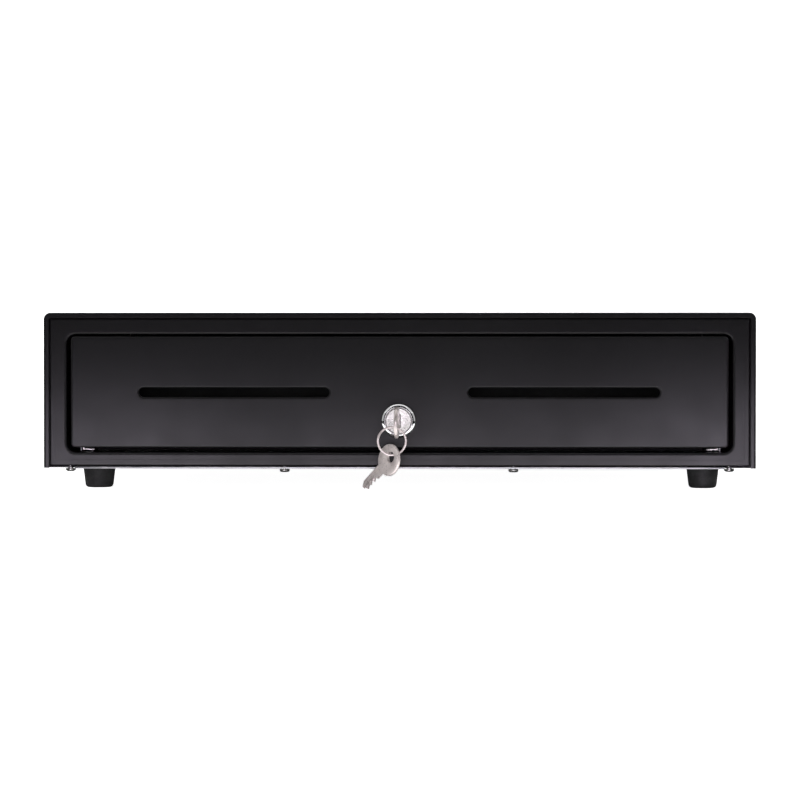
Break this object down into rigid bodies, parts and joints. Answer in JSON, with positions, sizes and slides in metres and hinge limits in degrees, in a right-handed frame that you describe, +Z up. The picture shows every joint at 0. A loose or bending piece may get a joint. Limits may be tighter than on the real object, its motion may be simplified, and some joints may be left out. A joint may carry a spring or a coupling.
{
  "type": "cash drawer",
  "caption": "Black steel cash drawer with media slots, a keyed lock with its key ring, telescopic slides and a till tray inside.",
  "frame": {"origin": "centre of the bounding box seen from above, at the height of the feet's soles", "axes": "+Z up. The drawer front and the keys face -Y and the drawer opens towards -Y. +X is to the right as seen from the front."},
  "size_m": [0.41, 0.4395, 0.102],
  "materials": {
    "black_paint": "satin powder coat",
    "galvanised": "galvanised",
    "steel": "bright zinc",
    "chrome": "polished",
    "nickel": "nickel plate",
    "rubber": "matt",
    "black_plastic": "fine grain",
    "coil": "wound tape"
  },
  "bodies": {
    "casing": {"top_cover": "black_paint", "front_bezel": "black_paint", "back_panel": "black_paint", "bottom_plate": "galvanised", "cable_socket": "black_plastic", "case_screw_1": "steel", "case_screw_2": "steel", "case_screw_3": "steel", "case_screw_4": "steel", "foot_front_left": "rubber", "foot_front_right": "rubber", "foot_rear_left": "rubber", "foot_rear_right": "rubber", "rail_bracket_left": "galvanised", "rail_bracket_right": "galvanised", "slide_outer_left": "galvanised", "slide_outer_right": "galvanised", "latch_bracket": "galvanised", "latch_pin": "steel", "solenoid": "coil", "drawer_switch": "black_plastic", "ejector_guide": "galvanised"},
    "drawer": {"drawer_box": "black_paint", "drawer_front": "black_paint", "striker": "steel", "lock_housing": "chrome", "lock_nut": "steel", "till_tray": "black_plastic", "clip_shaft": "steel", "slide_inner_left": "galvanised", "slide_inner_right": "galvanised", "media_chute_left": "galvanised", "media_chute_right": "galvanised", "bill_divider_1": "black_plastic", "bill_divider_2": "black_plastic", "bill_divider_3": "black_plastic", "bill_divider_4": "black_plastic", "coin_cup_1": "black_plastic", "coin_cup_2": "black_plastic", "coin_cup_3": "black_plastic", "coin_cup_4": "black_plastic", "coin_cup_5": "black_plastic"},
    "slide_middle_left": {"slide_middle_left": "galvanised"},
    "slide_middle_right": {"slide_middle_right": "galvanised"},
    "lock": {"lock_plug": "chrome", "lock_cam": "steel", "key_inserted": "nickel"},
    "ring": {"key_ring": "nickel"},
    "spare": {"key_spare": "nickel"},
    "hook": {"latch_hook": "steel"},
    "plunger": {"solenoid_plunger": "steel"},
    "lever": {"switch_lever": "steel"},
    "ejector": {"ejector_plunger": "black_plastic"},
    "clip_1": {"bill_clip_1": "steel"},
    "clip_2": {"bill_clip_2": "steel"},
    "clip_3": {"bill_clip_3": "steel"},
    "clip_4": {"bill_clip_4": "steel"},
    "clip_5": {"bill_clip_5": "steel"}
  },
  "joints": [
    {"name": "drawer_slide", "type": "slide", "parent": "casing", "child": "drawer", "axis": [0, -1, 0], "range_m": [0, 0.29]},
    {"name": "slide_middle_left_travel", "type": "slide", "parent": "casing", "child": "slide_middle_left", "axis": [0, -1, 0], "range_m": [0, 0.145]},
    {"name": "slide_middle_right_travel", "type": "slide", "parent": "casing", "child": "slide_middle_right", "axis": [0, -1, 0], "range_m": [0, 0.145]},
    {"name": "lock_turn", "type": "hinge", "parent": "drawer", "child": "lock", "pos_m": [0, -0.19856, 0.0397], "axis": [0, 1, 0], "range_deg": [0, 90]},
    {"name": "ring_swing", "type": "hinge", "parent": "lock", "child": "ring", "pos_m": [-0.00077, -0.21324, 0.03624], "axis": [0, 1, 0], "range_deg": [0, 9]},
    {"name": "spare_key_swing", "type": "hinge", "parent": "ring", "child": "spare", "pos_m": [-0.0033, -0.21324, 0.02075], "axis": [0, 1, 0], "range_deg": [0, 12]},
    {"name": "latch_turn", "type": "hinge", "parent": "casing", "child": "hook", "pos_m": [0.012, 0.20874, 0.051], "axis": [0, 0, -1], "range_deg": [0, 24]},
    {"name": "solenoid_stroke", "type": "slide", "parent": "casing", "child": "plunger", "axis": [0, -1, 0], "range_m": [0, 0.00735], "stiffness_N_per_m": 60},
    {"name": "switch_press", "type": "hinge", "parent": "casing", "child": "lever", "pos_m": [-0.057, 0.18874, 0.031], "axis": [0, 0, 1], "range_deg": [0, 10], "stiffness_Nm_per_rad": 0.01},
    {"name": "ejector_push", "type": "slide", "parent": "casing", "child": "ejector", "axis": [0, 1, 0], "range_m": [0, 0.008], "stiffness_N_per_m": 600},
    {"name": "bill_clip_1_lift", "type": "hinge", "parent": "drawer", "child": "clip_1", "pos_m": [-0.1364, 0.16173, 0.076], "axis": [-1, 0, 0], "range_deg": [0, 30], "stiffness_Nm_per_rad": 0.05, "springref_deg": -17.19},
    {"name": "bill_clip_2_lift", "type": "hinge", "parent": "drawer", "child": "clip_2", "pos_m": [-0.0682, 0.16173, 0.076], "axis": [-1, 0, 0], "range_deg": [0, 30], "stiffness_Nm_per_rad": 0.05, "springref_deg": -17.19},
    {"name": "bill_clip_3_lift", "type": "hinge", "parent": "drawer", "child": "clip_3", "pos_m": [0, 0.16173, 0.076], "axis": [-1, 0, 0], "range_deg": [0, 30], "stiffness_Nm_per_rad": 0.05, "springref_deg": -17.19},
    {"name": "bill_clip_4_lift", "type": "hinge", "parent": "drawer", "child": "clip_4", "pos_m": [0.0682, 0.16173, 0.076], "axis": [-1, 0, 0], "range_deg": [0, 30], "stiffness_Nm_per_rad": 0.05, "springref_deg": -17.19},
    {"name": "bill_clip_5_lift", "type": "hinge", "parent": "drawer", "child": "clip_5", "pos_m": [0.1364, 0.16173, 0.076], "axis": [-1, 0, 0], "range_deg": [0, 30], "stiffness_Nm_per_rad": 0.05, "springref_deg": -17.19}
  ],
  "couplings": [
    {"joint": "slide_middle_left_travel", "follows": "drawer_slide", "ratio": 0.5},
    {"joint": "slide_middle_right_travel", "follows": "drawer_slide", "ratio": 0.5},
    {"joint": "latch_turn", "follows": "solenoid_stroke", "rad_per_m": 56.8}
  ]
}
